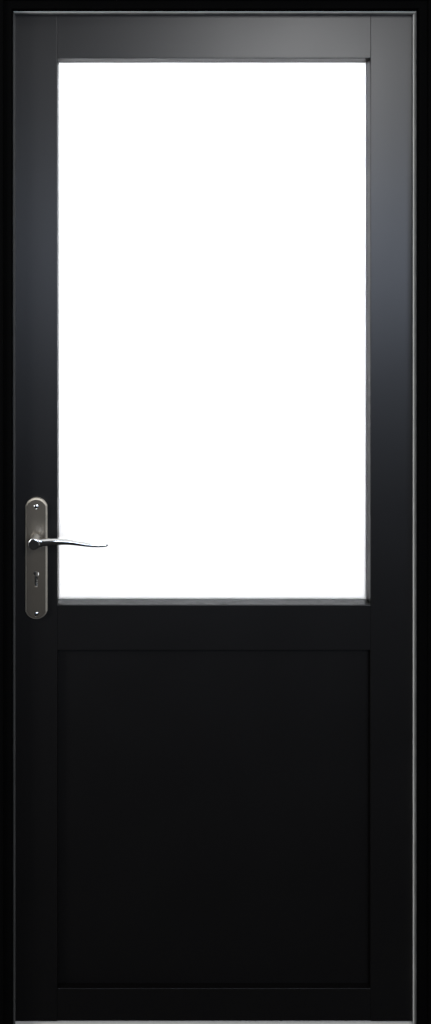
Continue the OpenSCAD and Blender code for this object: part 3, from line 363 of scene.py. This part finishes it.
# Bolts and sleeves
# They clamp the two plates through the leaf, and are chromed like the levers.
# Chrome is a clean mirror with a trace of finger marks.
chrome, tree, shader, place = new_finish("polished_chrome")
touch_mm = 12
touch = add(tree, "ShaderNodeTexNoise", {"Vector": place, "Scale": 1000 / touch_mm, "Detail": 5.0})
mirror = add(tree, "ShaderNodeMapRange", {"Value": touch.outputs["Fac"], "To Min": 0.04, "To Max": 0.13})
tree.links.new(mirror.outputs["Result"], shader.inputs["Roughness"])
shader.inputs["Base Color"].default_value = linear("#dcdddd")
shader.inputs["Metallic"].default_value = 1.0
coat(chrome, "plate_bolts", "plate_sleeves")

# Levers
# Each lever is cast in one piece and chromed. A hub turned round the spindle flows into a flat grip, which
# bows up a little, thins out and sweeps down to a tip that is drawn back towards the leaf.
turn = joints["lever_turn"]["pos_m"]
near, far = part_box("lever_front")
bush_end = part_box("lever_bush_front")[0][1]
hub_r = turn[0] - near[0]
neck_r = 0.008
shoulder_w = 0.001
flare_l = 0.0065
belt_l = 0.0145
brow_l = 0.0008
brow_w = 0.0006
round_w = 0.0022
face_w = 0.0045
grip_inset = 0.0015
grip_d = 0.012
grip_y = near[1] + grip_d / 2 + grip_inset
reach = far[0] - turn[0]
root_x = 1.5 * hub_r
root_h = 0.016
tip_h = 0.008
rise = 0.0035
drop = 0.005


def ease(t):
    """Goes from 0 to 1 with a soft start and end."""
    t = max(0.0, min(1.0, t))
    return t * t * (3 - 2 * t)


# The hub is a disc drawn out along the spindle, with a neck in the bush, a flare and a rounded end.
# A cage of few corners shrinks when it is smoothed, so it starts larger. Rings set close together keep
# the neck straight up to the bush's end.
hub_sides = 12
hub_swell = 6 / (4 + 2 * math.cos(2 * math.pi / hub_sides))
neck_ring = 0.0005
seat_ring = 0.0003
band_front = 0.0055
band = (grip_y + grip_d / 2, grip_y - band_front)
profile = [
    (far[1] - neck_ring, neck_r),
    (bush_end, neck_r),
    (bush_end - seat_ring, neck_r),
    (bush_end - 2 * seat_ring, neck_r + shoulder_w),
    (bush_end - flare_l, hub_r),
    (bush_end - belt_l, hub_r),
    (band[0], hub_r),
    (band[1], hub_r),
    (near[1] + brow_l, hub_r - brow_w),
    (near[1], hub_r - round_w),
    (near[1], hub_r - face_w)
]
bpy.ops.object.select_all(action="DESELECT")
bpy.ops.mesh.primitive_circle_add(vertices=hub_sides, radius=neck_r * hub_swell, fill_type="NGON",
                                  location=(turn[0], far[1], turn[2]),
                                  rotation=(math.pi / 2, math.pi / hub_sides, 0.0))
lever = bpy.context.object
lever.name = "cast_lever_front"
bpy.ops.object.transform_apply()
bpy.ops.object.mode_set(mode="EDIT")
bpy.ops.mesh.select_mode(type="FACE")
bpy.ops.mesh.select_all(action="SELECT")
last_y = far[1]
last_r = neck_r
for y, r in profile:
    bpy.ops.mesh.extrude_region_move(TRANSFORM_OT_translate={"value": (0.0, y - last_y, 0.0)})
    bpy.ops.transform.resize(value=(r / last_r, 1.0, r / last_r), center_override=(turn[0], y, turn[2]))
    last_y = y
    last_r = r

# Three faces of the hub towards the glass are opened, where the grip grows out.
bpy.ops.mesh.select_all(action="DESELECT")
bpy.ops.object.mode_set(mode="OBJECT")
for face in lever.data.polygons:
    face.select = face.center.x - turn[0] > 0.75 * hub_r and band[1] < face.center.y < band[0]
bpy.ops.object.mode_set(mode="EDIT")
bpy.ops.mesh.delete(type="FACE")

# The grip is a ring drawn out along its S-shaped line and closed at the tip.
# Its rings stand closer towards the tip. The starts and ends of its bends are shares of the reach.
grip_sides = 8
grip_swell = 6 / (4 + 2 * math.cos(2 * math.pi / grip_sides))
rings = 11
crowding = 1.4
tip_close = 0.93
taper_d = 0.25
taper_h = 1.1
rise_end = 0.3
fall_start = 0.35
fall_span = 0.55
back_start = 0.72
bpy.ops.mesh.select_mode(type="EDGE")
last = (turn[0], grip_y, turn[2])
last_d = last_h = 1.0
bpy.ops.mesh.primitive_circle_add(vertices=grip_sides, radius=grip_swell, fill_type="NOTHING",
                                  location=last, rotation=(0.0, math.pi / 2, 0.0))
bpy.ops.transform.rotate(value=math.pi / grip_sides, orient_axis="X", center_override=last)
for i in range(rings + 1):
    x = root_x + (reach - root_x) * (1 - (1 - i / rings) ** crowding)
    along = x / reach
    tip = math.sqrt(1 - tip_close * max(0.0, (x - reach + tip_h) / tip_h) ** 2)
    half_d = tip * grip_d / 2 * (1 - taper_d * ease(along))
    half_h = tip * (root_h + (tip_h - root_h) * ease(taper_h * along)) / 2
    bow = rise * ease(along / rise_end) - (rise + drop) * ease((along - fall_start) / fall_span)
    back = grip_d / 3 * ease((along - back_start) / (1 - back_start))
    centre = (turn[0] + x, grip_y + back, turn[2] + bow)
    move = [c - before for c, before in zip(centre, last)]
    if i == 0:
        bpy.ops.transform.translate(value=move)
    else:
        bpy.ops.mesh.extrude_region_move(TRANSFORM_OT_translate={"value": move})
    bpy.ops.transform.resize(value=(1.0, half_d / last_d, half_h / last_h), center_override=centre)
    last = centre
    last_d = half_d
    last_h = half_h
bpy.ops.mesh.edge_face_add()
bpy.ops.mesh.select_all(action="DESELECT")
bpy.ops.mesh.select_non_manifold()
bpy.ops.mesh.bridge_edge_loops()
bpy.ops.mesh.select_all(action="SELECT")
bpy.ops.mesh.normals_make_consistent(inside=False)
bpy.ops.object.mode_set(mode="OBJECT")
bpy.ops.object.modifier_add(type="SUBSURF")
smoothing = 3
lever.modifiers[-1].levels = smoothing
lever.modifiers[-1].render_levels = smoothing
bpy.ops.object.modifier_apply(modifier=lever.modifiers[-1].name)

# The square socket for the spindle and the hole for the set screw below are cut out of the hub.
slack = 0.0001
socket_s = 0.0082
socket_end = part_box("spindle")[0][1] - slack
bpy.ops.mesh.primitive_cube_add(size=1.0, location=(turn[0], socket_end / 2, turn[2]),
                                scale=(socket_s, -socket_end, socket_s))
socket = bpy.context.object
screw_r = 0.0025
screw_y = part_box("grub_screws")[0][1] + screw_r
bpy.ops.mesh.primitive_cylinder_add(vertices=48, radius=screw_r + slack, depth=2 * hub_r,
                                    location=(turn[0], screw_y, turn[2] - hub_r))
screw_hole = bpy.context.object
bpy.ops.object.select_all(action="DESELECT")
lever.select_set(True)
bpy.context.view_layer.objects.active = lever
for cutter in (socket, screw_hole):
    bpy.ops.object.modifier_add(type="BOOLEAN")
    lever.modifiers[-1].operation = "DIFFERENCE"
    lever.modifiers[-1].object = cutter
    bpy.ops.object.modifier_apply(modifier=lever.modifiers[-1].name)
bpy.ops.object.shade_smooth_by_angle(angle=sharp_angle)
lever.data.materials.append(chrome)

# The rear lever is the same casting mirrored through the leaf.
bpy.ops.object.duplicate(linked=False)
rear_lever = bpy.context.object
rear_lever.name = "cast_lever_rear"
bpy.ops.transform.resize(value=(1.0, -1.0, 1.0), center_override=(0.0, 0.0, 0.0))
bpy.ops.object.transform_apply()
bpy.ops.object.mode_set(mode="EDIT")
bpy.ops.mesh.select_all(action="SELECT")
bpy.ops.mesh.normals_make_consistent(inside=False)
bpy.ops.object.mode_set(mode="OBJECT")
bpy.ops.object.select_all(action="DESELECT")
socket.select_set(True)
screw_hole.select_set(True)
bpy.ops.object.delete()
for piece, node in ((lever, "lever_front"), (rear_lever, "lever_rear")):
    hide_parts(node)
    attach(piece, "lever_set")

# Floor
# A plain pale floor that keeps the door's shadow and melts into the white round it.
# Glass shows it as white as the background, and the dark lacquer hardly shows it.
bpy.ops.object.select_all(action="DESELECT")
bpy.ops.mesh.primitive_plane_add(size=9.0, location=(0.0, 0.0, 0.0))
floor = bpy.context.object
floor.name = "floor"
pale, tree, shader, place = new_finish("pale_floor")
speck_mm = 6
speck = add(tree, "ShaderNodeTexNoise", {"Vector": place, "Scale": 1000 / speck_mm, "Detail": 3.0})
tone = add(tree, "ShaderNodeMix",
           {"Factor": speck.outputs["Fac"], "A": linear("#d6d3cd"), "B": linear("#e0ded9")},
           data_type="RGBA")
tree.links.new(tone.outputs["Result"], shader.inputs["Base Color"])
shader.inputs["Roughness"].default_value = 0.9
shader.inputs["Specular IOR Level"].default_value = 0.0
ray = add(tree, "ShaderNodeLightPath", {})
white = add(tree, "ShaderNodeEmission", {"Strength": 1.0})
dim = add(tree, "ShaderNodeEmission", {"Strength": 0.015})
clear = add(tree, "ShaderNodeBsdfTransparent", {})
distance = add(tree, "ShaderNodeVectorMath", {0: place}, operation="LENGTH")
edge = add(tree, "ShaderNodeMapRange",
           {"Value": distance.outputs["Value"], "From Min": 0.6, "From Max": 2.0},
           interpolation_type="SMOOTHSTEP")
seen = add(tree, "ShaderNodeMixShader",
           {0: ray.outputs["Is Glossy Ray"], 1: shader.outputs[0], 2: dim.outputs[0]})
kept = add(tree, "ShaderNodeMixShader",
           {0: ray.outputs["Is Transmission Ray"], 1: seen.outputs[0], 2: white.outputs[0]})
melt = add(tree, "ShaderNodeMixShader",
           {0: edge.outputs["Result"], 1: kept.outputs[0], 2: clear.outputs[0]})
tree.links.new(melt.outputs[0], tree.nodes["Material Output"].inputs["Surface"])
floor.data.materials.append(pale)

# Room
# White all round for the eye and through the glass. Polished and lacquered faces see daylight behind
# the door, and in front of it a dim room with a pale ceiling and grey side walls.
world = bpy.data.worlds.new("room")
bpy.context.scene.world = world
world.use_nodes = True
tree = world.node_tree
ray = add(tree, "ShaderNodeLightPath", {})
way = add(tree, "ShaderNodeTexCoord", {}).outputs["Generated"]
side = add(tree, "ShaderNodeSeparateXYZ", {"Vector": way})
daylight = add(tree, "ShaderNodeMapRange",
               {"Value": side.outputs["Y"], "From Min": -0.05, "From Max": 0.35, "To Min": 0.02,
                "To Max": 1.0}, interpolation_type="SMOOTHSTEP")
ceiling = add(tree, "ShaderNodeMapRange",
              {"Value": side.outputs["Z"], "From Min": 0.4, "From Max": 0.65, "To Min": 0.0,
               "To Max": 1.0}, interpolation_type="SMOOTHSTEP")
across = add(tree, "ShaderNodeMath", {0: side.outputs["X"]}, operation="ABSOLUTE")
walls = add(tree, "ShaderNodeMapRange",
            {"Value": across.outputs[0], "From Min": 0.7, "From Max": 0.9, "To Min": 0.0,
             "To Max": 0.3}, interpolation_type="SMOOTHSTEP")
around = add(tree, "ShaderNodeMath", {0: ceiling.outputs["Result"], 1: walls.outputs["Result"]},
             operation="MAXIMUM")
bright = add(tree, "ShaderNodeMath", {0: daylight.outputs["Result"], 1: around.outputs[0]},
             operation="MAXIMUM")
shine = add(tree, "ShaderNodeMix",
            {"Factor": ray.outputs["Is Glossy Ray"], "A": 0.15, "B": bright.outputs[0]})
direct = add(tree, "ShaderNodeMath",
             {0: ray.outputs["Is Camera Ray"], 1: ray.outputs["Is Transmission Ray"]}, operation="MAXIMUM")
level = add(tree, "ShaderNodeMix", {"Factor": direct.outputs[0], "A": shine.outputs["Result"], "B": 1.0})
sky = tree.nodes["Background"]
sky.inputs["Color"].default_value = (1.0, 1.0, 1.0, 1.0)
tree.links.new(level.outputs["Result"], sky.inputs["Strength"])


def lamp(name, place, aim, wide, tall, watts, code):
    """Hangs a soft lamp that shines at a point and isn't itself seen."""
    bpy.ops.object.light_add(type="AREA", location=place)
    light = bpy.context.object
    light.name = name
    light.data.shape = "RECTANGLE"
    light.data.size = wide
    light.data.size_y = tall
    light.data.energy = watts
    light.data.color = linear(code)[:3]
    way = [place[i] - aim[i] for i in range(3)]
    tilt = math.atan2(math.hypot(way[0], way[1]), way[2])
    light.rotation_euler = (tilt, 0.0, math.atan2(way[0], -way[1]))
    light.visible_camera = False
    light.visible_transmission = False


lamp("softbox_right", place=(0.67, -2.4, 2.52), aim=(0.2, 0.0, 1.85), wide=0.5, tall=0.5, watts=30,
     code="#ffffff")
lamp("window_front", place=(0.62, -2.6, 1.7), aim=(0.2, 0.0, 1.5), wide=2.4, tall=0.5, watts=33,
     code="#d8e6ff")
lamp("softbox_left", place=(-1.7, -0.9, 1.7), aim=(0.4, 0.0, 1.3), wide=0.5, tall=1.4, watts=22,
     code="#ffffff")
lamp("daylight_behind", place=(0.4, 3.2, 2.2), aim=(0.0, 0.0, 1.1), wide=2.4, tall=2.0, watts=120,
     code="#f2f6ff")

# Camera
# Stands a metre and a half in front of the leaf at eye height, left of its middle.
# It looks straight ahead, and the lens is shifted down and to the right to take in the whole door.
camera_data = bpy.data.cameras.new("camera")
camera = bpy.data.objects.new("camera", camera_data)
bpy.context.scene.collection.objects.link(camera)
camera.location = (-0.169, -1.52, 1.478)
camera.rotation_euler = (math.pi / 2, 0.0, 0.0)
camera_data.sensor_width = 36.0
camera_data.lens = 26.2
camera_data.shift_x = 0.0835
camera_data.shift_y = -0.217
camera_data.clip_start = 0.01
bpy.context.scene.camera = camera
bpy.context.scene.view_settings.view_transform = "Standard"
